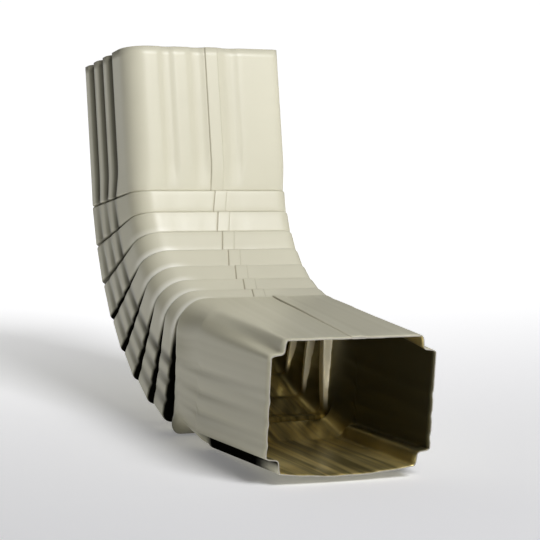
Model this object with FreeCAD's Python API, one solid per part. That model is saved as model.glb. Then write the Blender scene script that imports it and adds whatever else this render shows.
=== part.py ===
"""Downspout elbow: one corrugated sheet, lock-seamed, pleated round a bend and crimped at the outlet."""
import FreeCAD
import Part
import math
import os
from collections import namedtuple

Vector = FreeCAD.Vector

# Driving dimensions of the duct, in millimetres and degrees
WIDTH = 82.6
DEPTH = 60.3
SHEET = 0.5
BEND = 75.0
INLET_LENGTH = 72.0
OUTLET_LENGTH = 99.0
CORNER = 4.0

# Pleats that shorten the throat. From the first to the last their mouths open wider towards the heel, the
# bands stand further out over each other like scales, and the throat corner on the +X side grows rounder
PLEATS = 8
BAND = 10.9
FIRST_CORNER = 7.0
LAST_CORNER = 15.0
RIGHT_CORNER = 6.5
FOLD_GAP = 0.85
FOLD_RUN_OUT = 4
FIRST_MOUTH = 0.12
LAST_MOUTH = 0.5
CREASE = 0.3
CREASE_INSET = 0.25
FIRST_SCALE = 0.3
LAST_SCALE = 0.9
FLARE = 0.8
TUCK = 0.4
EASE = 13.0

# Corrugation pressed along the sheet, and how much of its depth is left at each place
FLUTES = 3
WALL_PITCH = 19.5
WALL_FLUTE = 11.5
WALL_FLOOR = 4.6
WALL_SINK = 1.3
SIDE_PITCH = 12.3
SIDE_SHIFT = 6.0
SIDE_FLUTE = 6.0
SIDE_SINK = 2.9
BAND_HEAD_SHARE = 0.12
BAND_FOOT_SHARE = 0.35
LEG_SHARE = 0.28
MOUTH_SHARE = 0.14
THROAT_SHARE = 0.3
INLET_THROAT_SHARE = 0.55

# Lock seam along the middle of the throat wall, dragged sideways by the pleats and the crimp
SEAM_WIDTH = 0.9 * (WALL_PITCH - WALL_FLUTE)
SEAM_STEP = 0.4
SEAM_LAYERS = 4
BAND_SEAM = 1.6
THROAT_SHIFT = 5.7
SEAM_SKEW = 1.0
SEAM_AT_HEAD = 7.6
SEAM_AT_MOUTH = -1.8

# Outlet leg: a lip over the last pleat, a bellied and bowed heel, then crimped corners for the next duct.
# The crimp is struck at once into the heel corners and grows along the throat corners
HEAD_LIP = 2.0
LIP_FADE = 30
HEAD_CORNER = 10.0
HEAD_RUN = 11.0
BELLY = 3.3
MOUTH_BOW = 2.4
CRIMP_START = 26.0
CRIMP_RUN = 5.0
CRIMP_EASE = 0.8
THROAT_CRIMP = 0.2
CRIMP_CORNER = 12.0
NOTCH = 6.4
NOTCH_ROUND = 1.1
TAPER = 0.9

CORNER_POINTS = 6
MITRE_LIMIT = 0.02
NODE = "downspout_elbow"

STEP = BEND / PLEATS
FOLD_DEPTH = DEPTH * math.tan(math.radians(STEP / 2))
HALF = WIDTH / 2

# A point of the section: x across, s below the throat wall, outward normal, flute depth, seam share
Spot = namedtuple("Spot", "x s nx ns sink seam")
# A ring of points round the sheet's middle surface, and the seam's thickness there in sheets
Ring = namedtuple("Ring", "points layers")


def flow(angle):
    """Direction of flow where the duct points this many degrees below level."""
    return Vector(0, math.cos(math.radians(angle)), -math.sin(math.radians(angle)))


def throat_normal(angle):
    """Outward normal of the throat wall, at right angles to the flow."""
    return Vector(0, math.sin(math.radians(angle)), math.cos(math.radians(angle)))


def blend(first, last, share):
    """Value part of the way from the first to the last."""
    return first + (last - first) * share


def wide_flutes():
    """Offset from the wall's middle and depth of each corner of a wide wall's broad flutes."""
    spots = []
    for index in range(FLUTES):
        middle = WALL_PITCH * ((FLUTES - 1) / 2 - index)
        for edge, sink in ((WALL_FLUTE, 0), (WALL_FLOOR, 1), (-WALL_FLOOR, 1), (-WALL_FLUTE, 0)):
            spots.append((middle + edge / 2, sink * WALL_SINK))
    return spots


def side_flutes():
    """Offset from the wall's middle and depth of each corner of a side wall's sharp flutes."""
    spots = []
    for index in range(FLUTES):
        middle = SIDE_PITCH * (index - (FLUTES - 1) / 2)
        for edge, sink in ((-SIDE_FLUTE, 0), (0, 1), (SIDE_FLUTE, 0)):
            spots.append((middle + edge / 2, sink * SIDE_SINK))
    return spots


def throat_spots():
    """Offset, depth and seam share along the throat wall: the broad flutes with the lock seam beside one."""
    edge = -WALL_FLUTE / 2
    seam = [(edge - SEAM_STEP, 0, 1), (edge - SEAM_WIDTH + SEAM_STEP, 0, 1), (edge - SEAM_WIDTH, 0, 0)]
    flutes = [(offset, sink, 0) for offset, sink in wide_flutes()]
    return sorted(flutes + seam, reverse=True)


def corner(x, s, along, away, radius, crimp):
    """Corner of the section: a round, drawn by the crimp into a square notch of about the same length."""
    ahead = Vector(along[0], along[1], 0)
    aside = Vector(away[0], away[1], 0)
    tip = Vector(x, s, 0)
    n, r = NOTCH, NOTCH_ROUND
    notch = [(n + r, 0), (n, r), (n, n - r), (n - r, n), (r, n), (0, n + r)]
    spots = []
    for index, (back, inward) in enumerate(notch):
        turn = math.pi / 2 * index / (CORNER_POINTS - 1)
        normal = ahead * math.sin(turn) - aside * math.cos(turn)
        rounded = tip + (aside - ahead) * radius + normal * radius
        notched = tip - ahead * back + aside * inward
        place = rounded * (1 - crimp) + notched * crimp
        spots.append(Spot(place.x, place.y, normal.x, normal.y, 0, 0))
    return spots


def outline(left=CORNER, right=CORNER, heel=CORNER, half=HALF, top=0.0, foot=DEPTH, throat_crimp=0.0,
            heel_crimp=0.0, seam_at=0.0, bow=0.0, throat_share=THROAT_SHARE):
    """Section of the sheet's middle surface, round the duct from the left end of the throat wall."""
    flat = (2 * half - left - right) / 2
    centre = (right - left) / 2
    spots = []
    for offset, sink, seam in throat_spots():
        reach = (offset + THROAT_SHIFT) / (HALF - CORNER)
        x = centre + reach * flat - (centre + seam_at) * (1 - reach ** 2)
        spots.append(Spot(x, top, 0, -1, sink * throat_share, seam))
    spots += corner(-half, top, (-1, 0), (0, 1), right, throat_crimp)
    spots += side_wall(-half, top + right, foot - heel)
    spots += corner(-half, foot, (0, 1), (1, 0), heel, heel_crimp)
    for offset, sink in wide_flutes():
        reach = -offset / (HALF - CORNER)
        spots.append(Spot(reach * (half - heel), foot + bow * (1 - reach ** 2), 0, 1, sink, 0))
    spots += corner(half, foot, (1, 0), (0, -1), heel, heel_crimp)
    spots += side_wall(half, top + left, foot - heel)[::-1]
    spots += corner(half, top, (0, -1), (-1, 0), left, throat_crimp)
    return spots


def side_wall(x, start, end):
    """Points down a side wall, its flutes kept to the flat between the corner rounds."""
    room = (end - start) / (DEPTH - 2 * CORNER)
    middle = (start + end) / 2
    out = math.copysign(1, x)
    return [Spot(x, middle + (u + SIDE_SHIFT) * room, out, 0, sink, 0) for u, sink in side_flutes()]


def plain_ring(origin, angle, spots, share=1.0, lift=None, layers=SEAM_LAYERS, stretch=1.0):
    """Ring across the duct, with this share of the flutes, lifted by a rule of depth below the throat."""
    points = []
    for spot in spots:
        rise = (lift(spot.s / DEPTH) if lift else 0) - spot.sink * share
        x = spot.x + spot.nx * rise
        s = (spot.s + spot.ns * rise) * stretch
        points.append(origin + Vector(x, 0, 0) - throat_normal(angle) * s)
    return Ring(points, layers)


def fold_rings(foot, head, spots, angle):
    """Two edges of a pleat's inner fold: deep at the throat and down the sides, a crease at the heel."""
    edges = ([], [])
    for above, below, spot in zip(foot.points, head.points, spots):
        depth = min(1.0, max(0.0, spot.s / DEPTH))
        reach = FOLD_DEPTH * math.sqrt(1 - depth ** FOLD_RUN_OUT) + CREASE
        inward = throat_normal(angle) * (spot.ns * reach) - Vector(spot.nx * reach, 0, 0)
        inset = (below - above) * (CREASE_INSET * depth ** 2)
        edges[0].append(above + inset + inward)
        edges[1].append(below - inset + inward)
    return [Ring(edge, 1) for edge in edges]


def foot_lift(scale):
    """Rule that tucks a band's foot in at the throat and stands it out towards the heel."""
    return lambda depth: scale * depth - TUCK * (1 - depth) ** 2


def head_lift(scale):
    """Rule that stands a band's head proud at the throat and sinks it towards the heel."""
    return lambda depth: FLARE * (1 - depth) ** 2 - scale * depth


def lip_lift(scale):
    """Rule for the head of the outlet leg: as a band's, with a lip turned out along the heel."""
    return lambda depth: head_lift(scale)(depth) + (HEAD_LIP + scale) * depth ** LIP_FADE


def pleat(throat, angle, number):
    """Rings of one pleat: foot of the band above, the two edges of the fold and head of the band below."""
    after = angle - STEP
    done = (number - 1) / (PLEATS - 1)
    left = blend(FIRST_CORNER, LAST_CORNER, done)
    scale = blend(FIRST_SCALE, LAST_SCALE, done)
    mouth = STEP * blend(FIRST_MOUTH, LAST_MOUTH, (number - 1) / (PLEATS - 2))
    lift, share, seam_at = head_lift(scale), BAND_HEAD_SHARE, SEAM_SKEW
    if number == PLEATS:
        mouth = STEP
        lift, share, seam_at = lip_lift(scale), LEG_SHARE, SEAM_AT_HEAD
    foot = plain_ring(
        throat - flow(angle) * (FOLD_GAP / 2), angle,
        outline(left, RIGHT_CORNER, seam_at=-SEAM_SKEW), BAND_FOOT_SHARE, foot_lift(scale), BAND_SEAM)
    head = plain_ring(
        throat + flow(after) * (FOLD_GAP / 2), angle - mouth,
        outline(left, RIGHT_CORNER, seam_at=seam_at), share, lift, BAND_SEAM,
        1 / math.cos(math.radians(STEP - mouth)))
    return [foot] + fold_rings(foot, head, outline(left, RIGHT_CORNER), angle - STEP / 2) + [head]


def outlet_leg(throat):
    """Rings of the outlet leg beyond its head, to the crimped mouth."""
    squared = NOTCH + NOTCH_ROUND
    full = CRIMP_START + CRIMP_RUN
    stations = [
        (HEAD_RUN, LAST_CORNER, RIGHT_CORNER, HEAD_CORNER, 0.0, 0.0),
        (CRIMP_START, CRIMP_CORNER, squared, CRIMP_CORNER, 0.0, 0.0),
        (CRIMP_START + CRIMP_RUN / 2, CRIMP_CORNER, squared, squared, THROAT_CRIMP / 2, CRIMP_EASE),
        (full, CRIMP_CORNER, squared, squared, THROAT_CRIMP, 1.0),
        (OUTLET_LENGTH, squared, squared, squared, 1.0, 1.0),
    ]
    found = []
    for along, left, right, heel, throat_crimp, heel_crimp in stations:
        done = along / OUTLET_LENGTH
        share = blend(LEG_SHARE, MOUTH_SHARE, done)
        taper = TAPER * max(0.0, (along - full) / (OUTLET_LENGTH - full))
        swell = (along - HEAD_RUN) / (CRIMP_START - HEAD_RUN)
        belly = BELLY * min(swell, (OUTLET_LENGTH - along) / (OUTLET_LENGTH - CRIMP_START))
        spots = outline(
            left, right, heel, HALF - taper, taper, DEPTH - taper + belly, throat_crimp, heel_crimp,
            blend(SEAM_AT_HEAD, SEAM_AT_MOUTH, done), MOUTH_BOW * done)
        found.append(plain_ring(throat + flow(0) * along, 0, spots, share))
    return found


def rings():
    """Rings of the whole sheet, from the inlet rim to the outlet rim."""
    throat = throat_normal(BEND) * (DEPTH / 2)
    spots = outline(throat_share=INLET_THROAT_SHARE)
    found = [plain_ring(throat, BEND, spots)]
    throat = throat + flow(BEND) * INLET_LENGTH
    found.append(plain_ring(throat - flow(BEND) * EASE, BEND, spots))
    for number in range(1, PLEATS + 1):
        angle = BEND - (number - 1) * STEP
        found += pleat(throat, angle, number)
        if number < PLEATS:
            throat = throat + flow(angle - STEP) * BAND
    return found + outlet_leg(throat)


def facet_normal(a, b, c, d):
    """Outward normal of the facet between two rings and two neighbours."""
    normal = (c - a).cross(d - b)
    return normal.normalize()


def gauge_offset(normals):
    """Least-squares vector whose height above each of the given facets is half the sheet."""
    m = FreeCAD.Matrix()
    total = Vector(0, 0, 0)
    for n in normals:
        m.A11 += n.x * n.x
        m.A12 += n.x * n.y
        m.A13 += n.x * n.z
        m.A22 += n.y * n.y
        m.A23 += n.y * n.z
        m.A33 += n.z * n.z
        total = total + n
    m.A11 += MITRE_LIMIT - 1
    m.A22 += MITRE_LIMIT - 1
    m.A33 += MITRE_LIMIT - 1
    m.A21 = m.A12
    m.A31 = m.A13
    m.A32 = m.A23
    return m.inverse().multVec(total) * (SHEET / 2)


def square_to(offset, axis):
    """The offset without its share along the axis, for an edge that is cut square."""
    return offset - axis * offset.dot(axis)


def half_thickness(grid):
    """Offsets that hold the sheet's gauge to every facet round each point."""
    count = len(grid[0])
    normals = []
    for ring, following in zip(grid[:-1], grid[1:]):
        quads = zip(ring, ring[1:] + ring[:1], following[1:] + following[:1], following)
        normals.append([facet_normal(*quad) for quad in quads])
    offsets = []
    for i in range(len(grid)):
        rows = normals[max(0, i - 1):i + 1]
        offsets.append([gauge_offset([row[q] for row in rows for q in (j - 1, j)]) for j in range(count)])
    offsets[0] = [square_to(offset, flow(BEND)) for offset in offsets[0]]
    offsets[-1] = [square_to(offset, flow(0)) for offset in offsets[-1]]
    return offsets


def skin(rows):
    """Folded skin through closed rings of points: two flat facets between each pair of neighbours."""
    facets = []
    for ring, following in zip(rows[:-1], rows[1:]):
        for a, b, c, d in zip(ring, ring[1:] + ring[:1], following[1:] + following[:1], following):
            facets.append(Part.Face(Part.makePolygon([a, b, c, a])))
            facets.append(Part.Face(Part.makePolygon([a, c, d, a])))
    return facets


def cut_edge(outer, inner):
    """Flat edge of the sheet between the ends of its two skins."""
    loops = [Part.makePolygon(loop + loop[:1]) for loop in (outer, inner)]
    return Part.makeFace(loops, "Part::FaceMakerBullseye")


def elbow():
    """The sheet as one solid: outer skin, inner skin and the two cut edges."""
    sheet = rings()
    seam = [spot.seam for spot in outline()]
    outer_rows = []
    inner_rows = []
    for ring, row in zip(sheet, half_thickness([ring.points for ring in sheet])):
        half = [offset * (1 + (ring.layers - 1) * share) for offset, share in zip(row, seam)]
        outer_rows.append([point + offset for point, offset in zip(ring.points, half)])
        inner_rows.append([point - offset for point, offset in zip(ring.points, half)])
    edges = [cut_edge(outer_rows[end], inner_rows[end]) for end in (0, -1)]
    shell = Part.makeShell(skin(outer_rows) + skin(inner_rows) + edges)
    shell.sewShape()
    solid = Part.makeSolid(shell)
    if solid.Volume < 0:
        solid.reverse()
    return solid


os.makedirs("parts", exist_ok=True)
part = elbow()
part.exportStep(os.path.join("parts", NODE + ".step"))
print(NODE, "valid", part.isValid(), "volume", round(part.Volume), part.BoundBox)
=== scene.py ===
import bpy
import math
import numpy as np
from collections import namedtuple
from mathutils import Matrix, Vector


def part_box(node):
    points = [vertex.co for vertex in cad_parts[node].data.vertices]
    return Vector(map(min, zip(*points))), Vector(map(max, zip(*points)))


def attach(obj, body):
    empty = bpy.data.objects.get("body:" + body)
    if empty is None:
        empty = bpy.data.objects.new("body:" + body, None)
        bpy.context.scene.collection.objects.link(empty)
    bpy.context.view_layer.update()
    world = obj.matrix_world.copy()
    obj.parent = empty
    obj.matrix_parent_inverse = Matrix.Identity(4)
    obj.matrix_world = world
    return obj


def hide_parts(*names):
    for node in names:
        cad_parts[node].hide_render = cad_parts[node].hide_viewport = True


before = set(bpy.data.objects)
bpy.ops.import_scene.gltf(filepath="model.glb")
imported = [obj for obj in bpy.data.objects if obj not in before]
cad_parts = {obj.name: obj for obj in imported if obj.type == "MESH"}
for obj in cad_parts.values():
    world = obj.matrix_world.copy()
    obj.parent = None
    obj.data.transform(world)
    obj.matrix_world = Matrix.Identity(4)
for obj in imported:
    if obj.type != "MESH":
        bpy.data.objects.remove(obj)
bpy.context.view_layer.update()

NODE = "downspout_elbow"
MM = 0.001
ACROSS = np.array([1, 0, 0])

# Driving dimensions of the duct, in millimetres and degrees
WIDTH = 82.6
DEPTH = 60.3
SHEET = 0.49
BEND = 75.0
INLET_LENGTH = 72.0
OUTLET_LENGTH = 99.0
CORNER = 4.0
INLET_CORNER = 11.0
HALF = WIDTH / 2
FLAT = HALF - CORNER
SIDE_FLAT = DEPTH / 2 - CORNER

# Pleats that shorten the throat, with the values that change from the first pleat to the last
PLEATS = 8
STEP = BEND / PLEATS
BAND = 10.9
EASE = 13.0
FOLD_GAP = 0.85
FOLD_DEPTH = DEPTH * math.tan(math.radians(STEP / 2))
FOLD_TAPER = 0.85
CREASE = 0.3
CREASE_INSET = 0.25
FIRST_CORNER = 10.0
LAST_CORNER = 15.0
RIGHT_CORNER = 6.5
FIRST_MOUTH = 0.03
LAST_MOUTH = 0.5
FIRST_SCALE = 0.1
LAST_SCALE = 0.9
FLARE = 0.5
TUCK = 0.3

# How far each lip closes over its fold at the throat, and the share of the depth where it is open again
LIP_CLOSE = 0.34
LIP_OPEN = 0.25

# Corrugation pressed along the sheet, and how much of its depth is left at each place
FLUTE_PLACES = (-1, 0, 1)
WALL_PITCH = 19.5
WALL_FLUTE = 11.5
WALL_FLOOR = 4.6
WALL_SINK = 1.3
SIDE_PITCH = 12.3
SIDE_SHIFT = 6.0
SIDE_FLUTE = 7.2
SIDE_SINK = 2.9
BAND_HEAD_SHARE = 0.1
BAND_FOOT_SHARE = 0.32
LEG_HEAD_SHARE = 0.08
LEG_SHARE = 0.32
MOUTH_SHARE = 0.14
THROAT_SHARE = 0.3
INLET_THROAT_SHARE = 0.8
LEG_THROAT_SHARE = 0.5

# Side flutes that keep their place: on the inlet leg below a height, and along the whole outlet leg
HELD = 12.0
LEG_MIDDLE = 32.4
LEG_REACH = 20.4
FLUTE_FADE = 3.0

# Lock seam along the throat wall, dragged sideways by the pleats and the crimp
THROAT_SHIFT = 5.7
SEAM_EDGE = THROAT_SHIFT - WALL_FLUTE / 2
SEAM_WIDTH = 7.2
SEAM_HEIGHT = 0.7
BAND_SEAM_HEIGHT = 0.15
SEAM_INSIDE = 0.5
SEAM_THINNING = 0.6
SEAM_STEEP = 0.4
SEAM_GENTLE = 0.8
FIRST_SKEW = 1.0
LAST_SKEW = 1.8
SEAM_AT_HEAD = 7.6
SEAM_AT_MOUTH = -1.8

# Crack along the seam's edge with painted shade in it, a fainter one along its far edge, and its share at
# places along the flow
CRACK_DEPTH = 0.35
CRACK_SHIFT = 0.1
CRACK_WIDTH = 0.28
FAR_CRACK = 0.35
FAR_CRACK_WIDTH = 0.3
INLET_CRACK = 0.3
BAND_CRACK = 0.6
HEAD_CRACK = 1.0
MOUTH_CRACK = 0.25

# Outlet leg: a lip over the last pleat, a bellied and bowed heel, then crimped corners
HEAD_LIP = 3.6
LIP_FADE = 30
HEAD_CORNER = 10.0
HEAD_RUN = 11.0
BELLY = 3.3
MOUTH_BOW = 2.4
CRIMP_START = 26.0
CRIMP_RUN = 5.0
CRIMP_EASE = 0.8
THROAT_CRIMP = 0.2
CRIMP_CORNER = 12.0
NOTCH = 6.4
NOTCH_ROUND = 1.1
NOTCH_SOFTEN = 0.2
NOTCH_PASSES = 2
TAPER = 0.9

# How far from each kind of key ring its rounded bend begins
EASE_BEND = 4.0
FOOT_BEND = 0.9
FOLD_BEND = 0.35
HEAD_BEND = 0.6
DIP_BEND = 2.5
CRIMP_BEND = 1.0
FULL_CRIMP_BEND = 2.0

# Shares of painted shade in the flutes at the key rings, of painted shade added in the folds by each pleat,
# and where the lips get a painted highlight
INLET_SHADE = 0.9
FOOT_SHADE = 0.9
HEAD_SHADE = 0.5
LEG_HEAD_SHADE = 0.05
LEG_SHADE = 0.1
PLEAT_DARKNESS = 0.25
LAST_DULL_LIP = 2
LIP_RAMP = 2
LIP_END = 0.6

# Points across the throat wall, round a corner, down a side and across the heel
THROAT_POINTS = 42
CORNER_POINTS = 11
SIDE_POINTS = 32
HEEL_POINTS = 28
SEAM_STEPS = (-0.9, -0.45, -0.2, 0.0, 0.2, 0.45, 0.9)
SEAM_CLEARANCE = 1.3

# Rows along the flow: their spacing on a straight run, and how many make a rounded bend
ROW_SPACING = 4.5
MOST_ROWS = 14
BEND_ROWS = 5
BEND_ROOM = 0.42

# Added to a normal's length before dividing by it
TINY = 1e-12

# Place across a corner, from one end of its round to the other, and the value kept for plain walls
CORNER_SPAN = 2.5
OFF_CORNER = 9

# Material slots of the sheet
OUTSIDE = 0
INSIDE = 1
EDGE = 2

# Columns round the section: x across, s below the throat wall, outward normal, flute depth, then shares
Section = namedtuple("Section", "x s nx ns sink seam crack across")
# A ring of the sheet's middle surface where its direction changes, with what lies on it there
Key = namedtuple("Key", "points bend seam fold dirt lip")
# A ring of the fine grid
Row = namedtuple("Row", "points seam fold dirt lip")


def flow(angle):
    """Direction of flow where the duct points this many degrees below level."""
    return np.array([0, math.cos(math.radians(angle)), -math.sin(math.radians(angle))])


def throat_normal(angle):
    """Outward normal of the throat wall, at right angles to the flow."""
    return np.array([0, math.sin(math.radians(angle)), math.cos(math.radians(angle))])


def blend(first, last, share):
    """Value part of the way from the first to the last."""
    return first + (last - first) * share


def smooth(value):
    """Soft step from 0 to 1 while the value goes from 0 to 1."""
    value = np.clip(value, 0, 1)
    return value * value * (3 - 2 * value)


def bump(distance, reach, power=2):
    """Soft hump: 1 at no distance, and about a third at the reach."""
    return np.exp(-(distance / reach) ** power)


def wide_sink(offset):
    """Depth of the broad flutes at this offset from the middle one."""
    bank = (WALL_FLUTE - WALL_FLOOR) / 2
    depth = np.zeros_like(offset)
    for place in FLUTE_PLACES:
        inside = WALL_FLUTE / 2 - abs(offset - place * WALL_PITCH)
        depth = np.maximum(depth, smooth(inside / bank))
    return depth * WALL_SINK


def side_sink(offset):
    """Depth of the narrow flutes at this offset from the side's middle."""
    depth = np.zeros_like(offset)
    for place in FLUTE_PLACES:
        reach = np.clip(abs(offset - place * SIDE_PITCH - SIDE_SHIFT) / (SIDE_FLUTE / 2), 0, 1)
        depth = np.maximum(depth, np.cos(reach * math.pi / 2) ** 2)
    return depth * SIDE_SINK


def throat_offsets():
    """Offsets across the throat wall, closer together at the two edges of the lock seam."""
    edges = (SEAM_EDGE, SEAM_EDGE - SEAM_WIDTH)
    offsets = [edge + step for edge in edges for step in SEAM_STEPS]
    for offset in np.linspace(FLAT, -FLAT, THROAT_POINTS + 2)[1:-1]:
        if min(abs(offset - edge) for edge in edges) > SEAM_CLEARANCE:
            offsets.append(offset)
    return np.array(sorted(offsets, reverse=True))


def notch_path():
    """The crimped corner's square notch: distance back along the first wall, and inward."""
    n, r = NOTCH, NOTCH_ROUND
    path = np.array([(n + r, 0), (n, r), (n, n - r), (n - r, n), (r, n), (0, n + r)], float)
    where = np.linspace(0, len(path) - 1, CORNER_POINTS)
    fine = np.stack([np.interp(where, range(len(path)), column) for column in path.T], 1)
    for _ in range(NOTCH_PASSES):
        beside = (fine[:-2] + fine[2:]) * NOTCH_SOFTEN
        fine[1:-1] = beside + fine[1:-1] * (1 - 2 * NOTCH_SOFTEN)
    return fine


def corner(x, s, along, away, radius, crimp):
    """Corner of the section: a round, drawn by the crimp into a square notch."""
    ahead = np.array(along, float)
    aside = np.array(away, float)
    turn = np.linspace(0, math.pi / 2, CORNER_POINTS)[:, None]
    normal = ahead * np.sin(turn) - aside * np.cos(turn)
    rounded = np.array([x, s]) + (aside - ahead) * radius + normal * radius
    notch = notch_path()
    notched = np.array([x, s]) - ahead * notch[:, :1] + aside * notch[:, 1:]
    place = rounded * (1 - crimp) + notched * crimp
    plain = np.zeros(CORNER_POINTS)
    across = np.linspace(-CORNER_SPAN, CORNER_SPAN, CORNER_POINTS)
    return Section(*place.T, *normal.T, plain, plain, plain, across)


def wall(x, s, nx, ns, sink, seam=0, crack=0):
    """Points along one wall of the section, between two corners."""
    columns = (x, s, nx, ns, sink, seam, crack, OFF_CORNER)
    return Section(*(np.broadcast_to(np.asarray(column, float), len(sink)) for column in columns))


def throat_wall(left, right, half, top, seam_at, throat_share):
    """The throat wall with its broad flutes and the lock seam, its points drawn sideways with the seam."""
    flat = (2 * half - left - right) / 2
    centre = (right - left) / 2
    offset = throat_offsets()
    past_edge = offset - SEAM_EDGE
    past_far_edge = past_edge + SEAM_WIDTH
    seam = smooth(-past_edge / SEAM_STEEP + 0.5) * smooth(past_far_edge / SEAM_GENTLE + 0.5)
    crack = bump(past_edge - CRACK_SHIFT, CRACK_WIDTH) + FAR_CRACK * bump(past_far_edge, FAR_CRACK_WIDTH)
    reach = offset / FLAT
    x = centre + reach * flat - (centre + seam_at) * (1 - reach ** 2)
    return wall(x, top, 0, -1, wide_sink(offset - THROAT_SHIFT) * throat_share, seam, crack)


def side_wall(x, start, end, straight, hold):
    """A side wall from the throat corner down, its flutes spread over it unless they keep their place."""
    offset = np.linspace(-SIDE_FLAT, SIDE_FLAT, SIDE_POINTS + 2)[1:-1]
    s = (start + end) / 2 + offset * (end - start) / (2 * SIDE_FLAT)
    sink = side_sink(offset)
    if hold:
        above = start + (offset + SIDE_FLAT) * (DEPTH / 2 - HELD - start) / (SIDE_FLAT - HELD)
        s = np.where(offset > -HELD, DEPTH / 2 + offset, above)
    if straight:
        sink = side_sink((s - LEG_MIDDLE) * SIDE_FLAT / LEG_REACH)
        sink = sink * smooth((s - start) / FLUTE_FADE) * smooth((end - s) / FLUTE_FADE)
    return wall(x, s, math.copysign(1, x), 0, sink)


def heel_wall(half, foot, bow):
    """The heel wall with its broad flutes, bowed outwards in the middle."""
    offset = np.linspace(-FLAT, FLAT, HEEL_POINTS + 2)[1:-1]
    reach = offset / FLAT
    return wall(reach * half, foot + bow * (1 - reach ** 2), 0, 1, wide_sink(offset))


def backwards(section):
    """The same points in the opposite order."""
    return Section(*(column[::-1] for column in section))


def outline(left=CORNER, right=CORNER, heel=CORNER, half=HALF, top=0.0, foot=DEPTH, throat_crimp=0.0,
            heel_crimp=0.0, seam_at=0.0, bow=0.0, throat_share=THROAT_SHARE, straight=False, hold=False):
    """Section of the sheet's middle surface, round the duct from the left end of the throat wall."""
    parts = [
        throat_wall(left, right, half, top, seam_at, throat_share),
        corner(-half, top, (-1, 0), (0, 1), right, throat_crimp),
        side_wall(-half, top + right, foot - heel, straight, hold),
        corner(-half, foot, (0, 1), (1, 0), heel, heel_crimp),
        heel_wall(half - heel, foot, bow),
        corner(half, foot, (1, 0), (0, -1), heel, heel_crimp),
        backwards(side_wall(half, top + left, foot - heel, straight, hold)),
        corner(half, top, (0, -1), (-1, 0), left, throat_crimp),
    ]
    return Section(*(np.concatenate(columns) for columns in zip(*parts)))


def ring(origin, angle, section, share=1.0, lift=None, stretch=1.0):
    """Ring across the duct, with this share of the flutes, lifted by a rule of depth below the throat."""
    rise = (lift(section.s / DEPTH) if lift else 0) - section.sink * share
    x = section.x + section.nx * rise
    s = (section.s + section.ns * rise) * stretch
    return origin + x[:, None] * ACROSS - s[:, None] * throat_normal(angle)


def fold_rings(foot, head, section, angle):
    """Two edges of a pleat's inner fold: deep at the throat, and a crease at the heel."""
    depth = np.clip(section.s / DEPTH, 0, 1)[:, None]
    reach = FOLD_DEPTH * (1 - depth ** 2) ** FOLD_TAPER + CREASE
    inward = (section.ns[:, None] * throat_normal(angle) - section.nx[:, None] * ACROSS) * reach
    inset = (head - foot) * (CREASE_INSET * depth ** 2)
    return foot + inset + inward, head - inset + inward


def foot_lift(scale):
    """Rule that tucks a band's foot in at the throat and stands it out towards the heel."""
    return lambda depth: scale * depth - TUCK * (1 - depth) ** 2


def head_lift(scale):
    """Rule that stands a band's head proud at the throat and sinks it towards the heel."""
    return lambda depth: FLARE * (1 - depth) ** 2 - scale * depth


def lip_lift(scale):
    """Rule for the head of the outlet leg: as a band's, with a lip turned out along the heel."""
    return lambda depth: head_lift(scale)(depth) + (HEAD_LIP + scale) * np.clip(depth, 0, 1) ** LIP_FADE


def pleat(throat, angle, number):
    """Keys of one pleat: foot of the band above, the two edges of the fold and head of the band below."""
    after = angle - STEP
    done = (number - 1) / (PLEATS - 1)
    left = blend(FIRST_CORNER, LAST_CORNER, done)
    scale = blend(FIRST_SCALE, LAST_SCALE, done)
    skew = blend(FIRST_SKEW, LAST_SKEW, done)
    at_leg = number == PLEATS
    if at_leg:
        mouth = STEP
        lift = lip_lift(scale)
        share, seam_at = LEG_HEAD_SHARE, SEAM_AT_HEAD
        head_seam, head_shade = SEAM_HEIGHT / 2, LEG_HEAD_SHADE
    else:
        mouth = STEP * blend(FIRST_MOUTH, LAST_MOUTH, (number - 1) / (PLEATS - 2))
        lift = head_lift(scale)
        share, seam_at = BAND_HEAD_SHARE, skew
        head_seam, head_shade = BAND_SEAM_HEIGHT, HEAD_SHADE
    above = throat - flow(angle) * (FOLD_GAP / 2)
    below = throat + flow(after) * (FOLD_GAP / 2)
    stretch = 1 / math.cos(math.radians(STEP - mouth))
    plain = outline(left, RIGHT_CORNER)
    foot_section = outline(left, RIGHT_CORNER, seam_at=-skew)
    head_section = outline(left, RIGHT_CORNER, seam_at=seam_at, straight=at_leg)
    plain_foot = ring(above, angle, plain, 0, foot_lift(scale))
    plain_head = ring(below, angle - mouth, plain, 0, head_lift(scale), stretch)
    first, second = fold_rings(plain_foot, plain_head, plain, angle - STEP / 2)
    close = LIP_CLOSE * (1 - smooth(plain.s / DEPTH / LIP_OPEN))[:, None]
    foot = ring(above, angle, foot_section, BAND_FOOT_SHARE, foot_lift(scale)) + flow(angle) * close
    head = ring(below, angle - mouth, head_section, share, lift, stretch) - flow(after) * close
    # Painted shade in this pleat's fold, stronger with each pleat
    dark = min(1.0, PLEAT_DARKNESS * number)
    # Painted highlight on this pleat's band lip, from the third pleat on
    bright = min(1.0, max(0.0, (number - LAST_DULL_LIP) / LIP_RAMP))
    return [
        Key(foot, FOOT_BEND, BAND_SEAM_HEIGHT, 0, FOOT_SHADE, bright),
        Key(first, FOLD_BEND, 0, dark, 0, 0),
        Key(second, FOLD_BEND, 0, dark, 0, 0),
        Key(head, HEAD_BEND, head_seam, 0, head_shade, 0),
    ]


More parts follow.
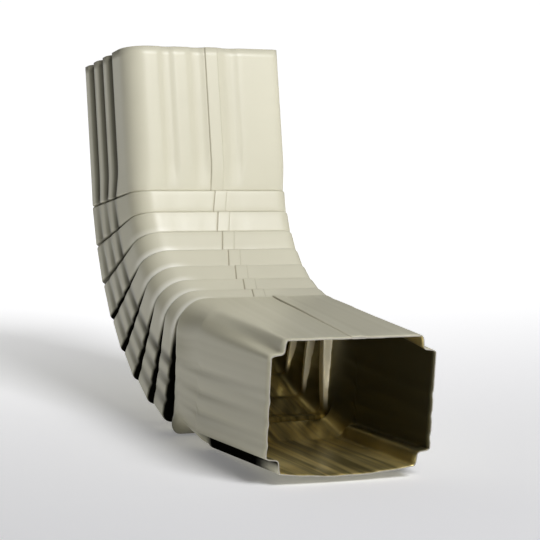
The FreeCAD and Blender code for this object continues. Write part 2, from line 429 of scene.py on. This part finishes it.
def outlet_leg(throat):
    """Keys of the outlet leg beyond its head, to the crimped mouth."""
    squared = NOTCH + NOTCH_ROUND
    halfway = CRIMP_START + CRIMP_RUN / 2
    full = CRIMP_START + CRIMP_RUN
    stations = [
        (HEAD_RUN / 2, LAST_CORNER, RIGHT_CORNER, HEAD_CORNER, 0.0, 0.0, DIP_BEND),
        (HEAD_RUN, LAST_CORNER, RIGHT_CORNER, HEAD_CORNER, 0.0, 0.0, EASE_BEND),
        (CRIMP_START, CRIMP_CORNER, squared, CRIMP_CORNER, 0.0, 0.0, CRIMP_BEND),
        (halfway, CRIMP_CORNER, squared, squared, THROAT_CRIMP / 2, CRIMP_EASE, CRIMP_BEND),
        (full, CRIMP_CORNER, squared, squared, THROAT_CRIMP, 1.0, FULL_CRIMP_BEND),
        (OUTLET_LENGTH, squared, squared, squared, 1.0, 1.0, 0),
    ]
    found = []
    for along, left, right, heel, throat_crimp, heel_crimp, bend in stations:
        done = along / OUTLET_LENGTH
        share = blend(LEG_SHARE, MOUTH_SHARE, done) if along > HEAD_RUN else LEG_HEAD_SHARE
        taper = TAPER * max(0.0, (along - full) / (OUTLET_LENGTH - full))
        swell = (along - HEAD_RUN) / (CRIMP_START - HEAD_RUN)
        belly = BELLY * min(swell, (OUTLET_LENGTH - along) / (OUTLET_LENGTH - CRIMP_START))
        section = outline(
            left, right, heel, HALF - taper, taper, DEPTH - taper + belly, throat_crimp, heel_crimp,
            blend(SEAM_AT_HEAD, SEAM_AT_MOUTH, done), MOUTH_BOW * done, LEG_THROAT_SHARE, straight=True)
        points = ring(throat + flow(0) * along, 0, section, share)
        found.append(Key(points, bend, SEAM_HEIGHT * (1 - SEAM_THINNING * done), 0, LEG_SHADE, 0))
    return found


def key_rings():
    """Keys of the whole sheet, from the inlet rim to the outlet rim."""
    throat = throat_normal(BEND) * (DEPTH / 2)
    section = outline(INLET_CORNER, throat_share=INLET_THROAT_SHARE, hold=True)
    keys = [Key(ring(throat, BEND, section), 0, SEAM_HEIGHT, 0, INLET_SHADE, 0)]
    throat = throat + flow(BEND) * INLET_LENGTH
    eased = ring(throat - flow(BEND) * EASE, BEND, section)
    keys.append(Key(eased, EASE_BEND, SEAM_HEIGHT, 0, INLET_SHADE, 0))
    for number in range(1, PLEATS + 1):
        angle = BEND - (number - 1) * STEP
        keys += pleat(throat, angle, number)
        if number < PLEATS:
            throat = throat + flow(angle - STEP) * BAND
    return keys + outlet_leg(throat)


def bend_ends(before, here, after):
    """Where the rounded bend at a key starts and ends, on the runs to its neighbours."""
    back = before.points - here.points
    ahead = after.points - here.points
    run_in = np.linalg.norm(back, axis=1, keepdims=True)
    run_out = np.linalg.norm(ahead, axis=1, keepdims=True)
    trim = np.minimum(here.bend, BEND_ROOM * np.minimum(run_in, run_out))
    return here.points + back / run_in * trim, here.points + ahead / run_out * trim


def straight_rows(last, before, here, start, fold):
    """Rows of the straight run from the last row to the start of the next bend."""
    length = float(np.median(np.linalg.norm(start - last, axis=1)))
    count = int(np.clip(round(length / ROW_SPACING), 0, MOST_ROWS))
    found = []
    for number in range(1, count + 1):
        share = number / (count + 1)
        points = last * (1 - share) + start * share
        seam = blend(before.seam, here.seam, share)
        found.append(Row(points, seam, fold, blend(before.dirt, here.dirt, share), 0.0))
    return found


def bend_rows(start, here, end, fold_before, fold_after):
    """Rows of the rounded bend at a key, with the painted highlight of the lip on the first part of it."""
    found = []
    for share in np.linspace(0, 1, BEND_ROWS):
        points = start * (1 - share) ** 2 + here.points * (2 * share * (1 - share)) + end * share ** 2
        fold = blend(fold_before, fold_after, float(smooth(share)))
        found.append(Row(points, here.seam, fold, here.dirt, here.lip if share < LIP_END else 0.0))
    return found


def fine_rows(keys):
    """Rows of the whole sheet: straight runs between the keys, and a rounded bend at each."""
    found = [Row(keys[0].points, keys[0].seam, 0.0, keys[0].dirt, 0.0)]
    for before, here, after in zip(keys, keys[1:], keys[2:]):
        start, end = bend_ends(before, here, after)
        fold_before = max(before.fold, here.fold)
        fold_after = max(here.fold, after.fold)
        found += straight_rows(found[-1].points, before, here, start, fold_before)
        found += bend_rows(start, here, end, fold_before, fold_after)
    before, rim = keys[-2:]
    found += straight_rows(found[-1].points, before, rim, rim.points, max(before.fold, rim.fold))
    found.append(Row(rim.points, rim.seam, rim.fold, rim.dirt, 0.0))
    return found


def outward_normals(grid):
    """Unit normals of the grid, square to the flow at the two rims."""
    around = np.roll(grid, -1, 1) - np.roll(grid, 1, 1)
    along = np.empty_like(grid)
    along[1:-1] = grid[2:] - grid[:-2]
    along[0] = grid[1] - grid[0]
    along[-1] = grid[-1] - grid[-2]
    normals = np.cross(along, around)
    normals /= np.linalg.norm(normals, axis=2, keepdims=True) + TINY
    for end, axis in ((0, flow(BEND)), (-1, flow(0))):
        normals[end] -= (normals[end] @ axis)[:, None] * axis
        normals[end] /= np.linalg.norm(normals[end], axis=1, keepdims=True)
    return normals


def travelled(grid):
    """Distance of each row from the inlet, along the middle of the duct."""
    middle = grid.mean(1)
    return np.linalg.norm(np.diff(middle, axis=0, prepend=middle[:1]), axis=1).cumsum()


def sheet_faces(ring_count, point_count):
    """Faces of the outer skin, the inner skin and the two cut edges, and the material slot of each."""
    total = ring_count * point_count
    here = np.arange(point_count)
    beside = (here + 1) % point_count
    ring_starts = np.arange(ring_count - 1)[:, None] * point_count
    a = ring_starts + here
    b = ring_starts + beside
    c = b + point_count
    d = a + point_count
    outside = np.stack([a, d, c, b], -1).reshape(-1, 4)
    inside = np.stack([a, b, c, d], -1).reshape(-1, 4) + total
    last = (ring_count - 1) * point_count
    inlet_edge = np.stack([here, beside, beside + total, here + total], -1)
    outlet_edge = np.stack([here, here + total, beside + total, beside], -1) + last
    faces = np.concatenate([outside, inside, inlet_edge, outlet_edge])
    counts = [len(outside), len(inside), 2 * point_count]
    return faces, np.repeat([OUTSIDE, INSIDE, EDGE], counts).astype(np.int32)


# The fine grid, where its rows and points lie, and how much of each lies on the bands and on the outlet leg
ZONE_FADE = 2.0
grid, seams, folds, painted_shades, lip_highlights = (np.array(column) for column in zip(*fine_rows(key_rings())))
seams, folds, painted_shades, lip_highlights = (column[:, None] for column in (seams, folds, painted_shades, lip_highlights))
section = outline()
depth = section.s / DEPTH
passed = travelled(grid)[:, None]
whole = passed[-1, 0]
from_mouth = whole - passed
from_head = OUTLET_LENGTH - from_mouth
on_leg = smooth((passed - whole + OUTLET_LENGTH) / ZONE_FADE)
on_bands = smooth((passed - INLET_LENGTH + ZONE_FADE) / ZONE_FADE) * (1 - on_leg)
facing_side = section.nx ** 2

# Painted shade in the folds, fainter at the throat, and the worn folds inside the duct with a painted
# highlight
THROAT_DARK = 0.1
DARK_DEPTH = 0.25
WEAR_AND_HIGHLIGHT_END = 0.8
WEAR_AND_HIGHLIGHT_FADE = 0.15


def fold_shade_layer():
    return folds * (THROAT_DARK + (1 - THROAT_DARK) * smooth(depth / DARK_DEPTH))


def wear_and_highlight_layer():
    return folds * (1 - smooth((depth - WEAR_AND_HIGHLIGHT_END) / WEAR_AND_HIGHLIGHT_FADE))


def crack_and_shade_layer():
    """The seam's crack with the painted shade in it: none in the folds, and strongest at the head of the
    outlet leg.
    """
    places = (0, INLET_LENGTH - EASE, INLET_LENGTH, whole - OUTLET_LENGTH, whole)
    shares = (INLET_CRACK, INLET_CRACK, BAND_CRACK, HEAD_CRACK, MOUTH_CRACK)
    return (1 - folds) * section.crack * np.interp(passed, places, shares)


# Painted shade along the side flutes, fainter low on the bands, and under the lip at the outlet leg's head
ON_SIDE = 0.9
STROKE_REACH = 3.6
STROKE_POWER = 3
LOW_FADE = 0.3
LOW_START = 0.5
LOW_SOFT = 0.1
TIP_SHADE = 0.7
TIP_REACH = 4
TIP_START = 0.9
TIP_SOFT = 0.08


def painted_shade_layer():
    places = [SIDE_SHIFT + place * SIDE_PITCH for place in FLUTE_PLACES]
    off_flute = np.min([abs(section.s - DEPTH / 2 - place) for place in places], 0)
    stroke = bump(off_flute, STROKE_REACH, STROKE_POWER) * (abs(section.nx) > ON_SIDE)
    low = 1 - smooth((LOW_START - depth) / LOW_SOFT)
    # Painted shade under the lip where the outlet leg's head meets the heel
    tip = bump(from_head, TIP_REACH) * smooth((depth - TIP_START) / TIP_SOFT)
    return np.maximum(painted_shades * stroke * (1 - on_bands * LOW_FADE * low), TIP_SHADE * tip)


# Painted shade in the crimped heel corners, wide where the crimp begins and narrow at the mouth
FACING_HEEL = 0.5
HEEL_SHADE_REACH = 3.0
WIDE_SHADE_REACH = 2.1
WIDE_POWER = 6
NARROW_SHADE_REACH = 1.0
NARROW_POWER = 4
NARROW_START = 20
NARROW_RUN = 14


def notch_shade_layer():
    crimped = np.clip((OUTLET_LENGTH - CRIMP_START - from_mouth) / CRIMP_RUN, 0, 1)
    wide = bump(section.across, WIDE_SHADE_REACH, WIDE_POWER)
    on_heel = bump(np.maximum(FLAT - abs(section.x), 0), HEEL_SHADE_REACH)
    wide = np.where(section.ns > FACING_HEEL, on_heel, wide)
    narrow = bump(section.across, NARROW_SHADE_REACH, NARROW_POWER)
    recess = blend(wide, narrow, smooth((NARROW_START - from_mouth) / NARROW_RUN))
    return crimped * recess * (section.s > DEPTH / 2)


# Grime and painted shade: a streaked film of grime and painted shade over the outlet leg, more painted shade
# on its sides and at its head on the viewer's left, and painted shade on the sides of the bands and the inlet
# leg
STREAK_WAVES = ((0.37, 0.4), (0.83, 2.1), (1.31, 4.0), (2.05, 1.2))
LEG_GRIME_AND_SHADE = 0.14
STREAK_GRIME = 0.09
LEG_SIDE_SHADE = 0.12
HEAD_CORNER_SHADE = 0.35
HEAD_CORNER_SHADE_REACH = 15
HEAD_CORNER_SHADE_MIDDLE = 14
HEAD_CORNER_SHADE_WIDTH = 10
SIDE_SHADE = 0.1
BAND_SIDE_SHADE = 0.14


def grime_and_shade_layer():
    index = np.arange(len(section.x))
    streak = sum(np.sin(index * step + turn) for step, turn in STREAK_WAVES) / len(STREAK_WAVES)
    # Painted shade at the outlet leg's head, on the viewer's left
    at_head = bump(from_head, HEAD_CORNER_SHADE_REACH) * bump(section.s - HEAD_CORNER_SHADE_MIDDLE, HEAD_CORNER_SHADE_WIDTH)
    leg = LEG_GRIME_AND_SHADE + STREAK_GRIME * streak + LEG_SIDE_SHADE * facing_side
    leg = on_leg * (leg + HEAD_CORNER_SHADE * at_head * (section.x > 0))
    # Painted shade on the sides of the inlet leg and the bands
    sides = (SIDE_SHADE * (1 - on_leg) + BAND_SIDE_SHADE * on_bands) * facing_side
    return np.clip(leg + sides, 0, 1)


# Painted highlight on the lips about the left throat corner, painted shade on the sides inside the duct, and
# painted shade that takes away the shine
LIP_REACH = 9
BAND_FLANK = 0.3
SHADE_DULL = 0.9


def lip_highlight_layer():
    return lip_highlights * bump(HALF - section.x + section.s, LIP_REACH)


def flank_shade_layer():
    # Painted shade on the side walls inside the duct, less on the bands
    return (1 - BAND_FLANK * on_bands) * facing_side


def tint_layers():
    """Every layer that the materials read, by name."""
    fold, dirt, notch_shade = fold_shade_layer(), painted_shade_layer(), notch_shade_layer()
    return {
        "fold": fold,
        "crack": crack_and_shade_layer(),
        "dirt": dirt,
        "flank_shade": flank_shade_layer(),
        "wear_and_highlight": wear_and_highlight_layer(),
        "notch_shade": notch_shade,
        "grime_and_shade": grime_and_shade_layer(),
        "lip": lip_highlight_layer(),
        "dull": np.maximum(np.maximum(fold, notch_shade), SHADE_DULL * dirt),
    }


def sheet_mesh():
    """The sheet with its two skins set off from the grid, and the layers on its points."""
    normals = outward_normals(grid)
    layers = tint_layers()
    swell = seams * section.seam
    outer = grid + normals * (SHEET / 2 + swell - CRACK_DEPTH * layers["crack"])[:, :, None]
    inner = grid - normals * (SHEET / 2 + swell * SEAM_INSIDE)[:, :, None]
    points = np.concatenate([outer.reshape(-1, 3), inner.reshape(-1, 3)]) * MM
    faces, slots = sheet_faces(*grid.shape[:2])
    mesh = bpy.data.meshes.new("elbow_sheet")
    mesh.from_pydata(points.tolist(), [], faces.tolist())
    mesh.polygons.foreach_set("material_index", slots)
    mesh.polygons.foreach_set("use_smooth", slots != EDGE)
    for name, values in layers.items():
        layer = mesh.attributes.new(name, "FLOAT", "POINT")
        layer.data.foreach_set("value", np.tile(values.ravel(), 2).astype(np.float32))
    mesh.update()
    print("grid", grid.shape[:2], "triangles", 2 * len(faces))
    return mesh


def new_material(name):
    """A material with its node tree and its shader."""
    material = bpy.data.materials.new(name)
    material.use_nodes = True
    return material, material.node_tree, material.node_tree.nodes["Principled BSDF"]


def map_range(tree, value, from_min, from_max, to_min, to_max, interpolation="LINEAR"):
    """The value carried from one range to another, and held at its ends."""
    node = tree.nodes.new("ShaderNodeMapRange")
    node.interpolation_type = interpolation
    node.inputs["From Min"].default_value = from_min
    node.inputs["From Max"].default_value = from_max
    node.inputs["To Min"].default_value = to_min
    node.inputs["To Max"].default_value = to_max
    tree.links.new(value, node.inputs["Value"])
    return node.outputs["Result"]


def combine(tree, operation, first, second):
    """Two values made into one by this operation."""
    node = tree.nodes.new("ShaderNodeMath")
    node.operation = operation
    tree.links.new(first, node.inputs[0])
    tree.links.new(second, node.inputs[1])
    return node.outputs["Value"]


def vector_value(tree, operation, vector, direction=None):
    """A vector's length, or its reach along a direction."""
    node = tree.nodes.new("ShaderNodeVectorMath")
    node.operation = operation
    tree.links.new(vector, node.inputs[0])
    if direction is not None:
        node.inputs[1].default_value = direction
    return node.outputs["Value"]


def axis_value(tree, vector, axis):
    """A vector's reach along one axis."""
    node = tree.nodes.new("ShaderNodeSeparateXYZ")
    tree.links.new(vector, node.inputs["Vector"])
    return node.outputs[axis]


def coordinates(tree, kind):
    """Where a point of the surface lies, in coordinates of this kind."""
    return tree.nodes.new("ShaderNodeTexCoord").outputs[kind]


def noise_value(tree, vector, scale, detail):
    """Cloudy noise at this scale."""
    node = tree.nodes.new("ShaderNodeTexNoise")
    node.inputs["Scale"].default_value = scale
    node.inputs["Detail"].default_value = detail
    tree.links.new(vector, node.inputs["Vector"])
    return node.outputs["Fac"]


def layer_value(tree, name):
    """One of the mesh's own layers."""
    node = tree.nodes.new("ShaderNodeAttribute")
    node.attribute_name = name
    return node.outputs["Fac"]


def tinted(tree, colour, factor, tint):
    """The colour, drawn towards a tint by the factor."""
    mix = tree.nodes.new("ShaderNodeMix")
    mix.data_type = "RGBA"
    tree.links.new(factor, mix.inputs["Factor"])
    tree.links.new(colour, mix.inputs["A"])
    mix.inputs["B"].default_value = (*tint, 1)
    return mix.outputs["Result"]


# Uneven colour: the part of the noise's range that it uses, and the noise's detail
MOTTLE_LOW = 0.3
MOTTLE_HIGH = 0.7
MOTTLE_DETAIL = 5


def mottle(tree, shader, dark, light, scale, glossiest, dullest):
    """Soft uneven colour and gloss over a surface, from noise in the object's own space."""
    noise = noise_value(tree, coordinates(tree, "Object"), scale, MOTTLE_DETAIL)
    node = tree.nodes.new("ShaderNodeValToRGB")
    low, high = node.color_ramp.elements
    low.position = MOTTLE_LOW
    low.color = (*dark, 1)
    high.position = MOTTLE_HIGH
    high.color = (*light, 1)
    tree.links.new(noise, node.inputs["Fac"])
    tree.links.new(map_range(tree, noise, 0, 1, glossiest, dullest), shader.inputs["Roughness"])
    return node.outputs["Color"]


# Streaks along the flow of the outlet leg: noise squeezed across it, and the range where they begin
STREAK_SCALE = (170, 9, 60)
STREAK_DETAIL = 2
STREAK_LOW = 0.42
STREAK_HIGH = 0.62


def streaks(tree):
    """Streaks that run along the flow of the outlet leg."""
    node = tree.nodes.new("ShaderNodeMapping")
    node.inputs["Scale"].default_value = STREAK_SCALE
    tree.links.new(coordinates(tree, "Object"), node.inputs["Vector"])
    noise = noise_value(tree, node.outputs["Vector"], 1, STREAK_DETAIL)
    return map_range(tree, noise, STREAK_LOW, STREAK_HIGH, 0, 1)


# Linear colours of the enamel and of what lies on it: grime, painted shade and painted highlight
ENAMEL_DARK = (0.635, 0.61, 0.475)
ENAMEL_LIGHT = (0.675, 0.65, 0.505)
GRIME_AND_SHADE = (0.18, 0.155, 0.04)
LIP_HIGHLIGHT = (0.86, 0.84, 0.73)
FLUTE_SHADE = (0.028, 0.024, 0.012)
BLACK = (0.003, 0.003, 0.002)
CRACK_SHADE = (0.30, 0.25, 0.16)
ENAMEL_SHINE = 0.5

# Linear colours of the wash coat inside the duct, its painted shade and its worn folds with a painted
# highlight, and of the cut edge
LACQUER_DARK = (0.76, 0.61, 0.23)
LACQUER_LIGHT = (0.95, 0.79, 0.35)
STREAK_BROWN = (0.27, 0.22, 0.085)
FLANK_SHADE_BROWN = (0.13, 0.118, 0.065)
WORN_AND_HIGHLIT = (1.0, 0.94, 0.74)
LACQUER_METAL = 0.75
WORN_AND_HIGHLIT_METAL = 0.3
EDGE_DARK = (0.34, 0.32, 0.27)
EDGE_LIGHT = (0.46, 0.44, 0.38)
EDGE_METAL = 0.4


def enamel():
    """Cream baked enamel, darker with a streaked film on the outlet leg, with painted shade in the flutes,
    folds, seam's crack and crimped corners, a painted highlight on the band lips, and without shine where
    shade is painted.
    """
    material, tree, shader = new_material("cream_enamel")
    colour = mottle(tree, shader, ENAMEL_DARK, ENAMEL_LIGHT, scale=18, glossiest=0.3, dullest=0.4)
    # Grime over the outlet leg, with painted shade on the sides and at the leg's head
    colour = tinted(tree, colour, layer_value(tree, "grime_and_shade"), GRIME_AND_SHADE)
    # Painted highlight on the band lips about the left throat corner
    colour = tinted(tree, colour, layer_value(tree, "lip"), LIP_HIGHLIGHT)
    # Painted shade, near black, along the side flutes and under the outlet leg's lip
    colour = tinted(tree, colour, layer_value(tree, "dirt"), FLUTE_SHADE)
    # Painted shade: the crimped heel corners are tinted black
    colour = tinted(tree, colour, layer_value(tree, "notch_shade"), BLACK)
    # Painted shade: the seam's crack is tinted brown
    colour = tinted(tree, colour, layer_value(tree, "crack"), CRACK_SHADE)
    # Painted shade: the folds are tinted black
    colour = tinted(tree, colour, layer_value(tree, "fold"), BLACK)
    tree.links.new(colour, shader.inputs["Base Color"])
    shine = map_range(tree, layer_value(tree, "dull"), 0, 1, ENAMEL_SHINE, 0)
    tree.links.new(shine, shader.inputs["Specular IOR Level"])
    return material


def lacquer():
    """Bronze wash coat inside the duct, streaked, with painted shade on the sides, and the folds worn bright
    with a painted highlight on them.
    """
    material, tree, shader = new_material("bronze_lacquer")
    colour = mottle(tree, shader, LACQUER_DARK, LACQUER_LIGHT, scale=30, glossiest=0.24, dullest=0.38)
    colour = tinted(tree, colour, streaks(tree), STREAK_BROWN)
    # Painted shade on the side walls inside the duct
    colour = tinted(tree, colour, layer_value(tree, "flank_shade"), FLANK_SHADE_BROWN)
    # Worn lacquer and a painted highlight on the folds inside the duct, with less metal there
    colour = tinted(tree, colour, layer_value(tree, "wear_and_highlight"), WORN_AND_HIGHLIT)
    tree.links.new(colour, shader.inputs["Base Color"])
    metal = map_range(tree, layer_value(tree, "wear_and_highlight"), 0, 1, LACQUER_METAL, WORN_AND_HIGHLIT_METAL)
    tree.links.new(metal, shader.inputs["Metallic"])
    return material


def cut_edge():
    """Cut edge of the sheet."""
    material, tree, shader = new_material("cut_edge")
    colour = mottle(tree, shader, EDGE_DARK, EDGE_LIGHT, scale=300, glossiest=0.3, dullest=0.5)
    tree.links.new(colour, shader.inputs["Base Color"])
    shader.inputs["Metallic"].default_value = EDGE_METAL
    return material


# The piece, with its materials in the order of their slots
mesh = sheet_mesh()
for make in (enamel, lacquer, cut_edge):
    mesh.materials.append(make())
piece = bpy.data.objects.new("elbow_sheet", mesh)
bpy.context.collection.objects.link(piece)
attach(piece, "root")
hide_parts(NODE)

# Camera at the photograph's viewing angle, in metres, millimetres of lens and degrees
AIM = Vector((0.0, 0.1051, -0.09185))
DISTANCE = 0.99332
LENS = 140.14
SENSOR = 36
AZIMUTH = math.radians(25.973)
ELEVATION = math.radians(8.431)
ROLL = math.radians(-3.032)

# How far the middle of the picture lies right of and below the aim, as shares of the focal length
FOCAL_PIXELS = 2102.2
OFF_RIGHT = 10.57 / FOCAL_PIXELS
OFF_DOWN = 1.13 / FOCAL_PIXELS


def camera():
    """Camera that is turned a little off its aim and rolled."""
    level = math.cos(ELEVATION)
    towards = Vector((math.sin(AZIMUTH) * level, math.cos(AZIMUTH) * level, math.sin(ELEVATION)))
    ahead = -towards
    right = ahead.cross(Vector((0, 0, 1))).normalized()
    down = ahead.cross(right)
    rolled_right = right * math.cos(ROLL) + down * math.sin(ROLL)
    rolled_down = down * math.cos(ROLL) - right * math.sin(ROLL)
    look = (ahead + rolled_right * OFF_RIGHT + rolled_down * OFF_DOWN).normalized()
    across = (rolled_right - look * rolled_right.dot(look)).normalized()
    turn = Matrix((across, across.cross(look), -look)).transposed()
    data = bpy.data.cameras.new("camera")
    data.lens = LENS
    data.sensor_width = SENSOR
    obj = bpy.data.objects.new("camera", data)
    obj.matrix_world = Matrix.Translation(AIM + towards * DISTANCE) @ turn.to_4x4()
    bpy.context.collection.objects.link(obj)
    bpy.context.scene.camera = obj


def area_light(name, place, size, watts, colour):
    """Square light that faces the camera's aim."""
    data = bpy.data.lights.new(name, "AREA")
    data.energy = watts
    data.size = size
    data.color = colour
    obj = bpy.data.objects.new(name, data)
    obj.location = place
    obj.rotation_euler = (AIM - Vector(place)).to_track_quat("-Z", "Y").to_euler()
    bpy.context.collection.objects.link(obj)


# Floor: its half width, the gap under the piece, and where it glows, in metres
FLOOR_HALF = 60.0
FLOOR_GAP = 0.0005
FLOOR_COLOUR = (0.9, 0.9, 0.9, 1)
FLOOR_ROUGHNESS = 0.9
WHITE = (1, 1, 1, 1)
GLOW_FRONT = 0.4
GLOW_BACK = -0.6
BACK_GLOW = 0.95
SIDEWAYS = (0.96, -0.312, 0)
GLOW_SIDE_START = 0.17
GLOW_SIDE_END = 0.5
FAR_START = 0.7
FAR_END = 1.5
FAR_GLOW = 0.8


def floor(height):
    """Plain pale floor that glows behind the piece, apart from its +X side, and far away all round."""
    data = bpy.data.meshes.new("floor")
    r = FLOOR_HALF
    data.from_pydata([(-r, -r, height), (r, -r, height), (r, r, height), (-r, r, height)], [], [(0, 1, 2, 3)])
    material, tree, shader = new_material("pale_floor")
    shader.inputs["Base Color"].default_value = FLOOR_COLOUR
    shader.inputs["Roughness"].default_value = FLOOR_ROUGHNESS
    shader.inputs["Emission Color"].default_value = WHITE
    place = coordinates(tree, "Object")
    back = map_range(tree, axis_value(tree, place, "Y"), GLOW_FRONT, GLOW_BACK, 0, BACK_GLOW, "SMOOTHSTEP")
    sideways = vector_value(tree, "DOT_PRODUCT", place, SIDEWAYS)
    side = map_range(tree, sideways, GLOW_SIDE_START, GLOW_SIDE_END, 1, 0, "SMOOTHSTEP")
    radius = vector_value(tree, "LENGTH", place)
    far = map_range(tree, radius, FAR_START, FAR_END, 0, FAR_GLOW, "SMOOTHSTEP")
    glow = combine(tree, "MAXIMUM", combine(tree, "MULTIPLY", back, side), far)
    tree.links.new(glow, shader.inputs["Emission Strength"])
    data.materials.append(material)
    obj = bpy.data.objects.new("floor", data)
    bpy.context.collection.objects.link(obj)


# Room light: the direction it is brightest from, its range, and the white strip along the horizon
ROOM_BRIGHT = Vector((-0.15, -0.95, 0.2)).normalized()
ROOM_TURN = 0.6
ROOM_LOW = 0.02
ROOM_HIGH = 0.12
STRIP_HEIGHT = 0.1
STRIP_LIGHT = 0.8


def studio():
    """Soft room light, white at the horizon, and above it brighter behind the piece than in front."""
    world = bpy.data.worlds.new("studio")
    bpy.context.scene.world = world
    world.use_nodes = True
    tree = world.node_tree
    background = tree.nodes["Background"]
    background.inputs["Color"].default_value = WHITE
    place = coordinates(tree, "Generated")
    facing = vector_value(tree, "DOT_PRODUCT", place, ROOM_BRIGHT)
    room = map_range(tree, facing, -ROOM_TURN, ROOM_TURN, ROOM_LOW, ROOM_HIGH)
    strip = map_range(tree, axis_value(tree, place, "Z"), 0, STRIP_HEIGHT, STRIP_LIGHT, 0)
    tree.links.new(combine(tree, "MAXIMUM", room, strip), background.inputs["Strength"])


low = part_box(NODE)[0]
floor(low.z - FLOOR_GAP)
studio()
area_light("key", place=(-0.30, 1.03, 0.92), size=0.6, watts=15.4, colour=(1, 1, 1.03))
area_light("fill", place=(0.22, 1.50, 0.00), size=0.35, watts=3.6, colour=(1, 0.99, 0.95))
camera()
bpy.context.scene.view_settings.view_transform = "Standard"
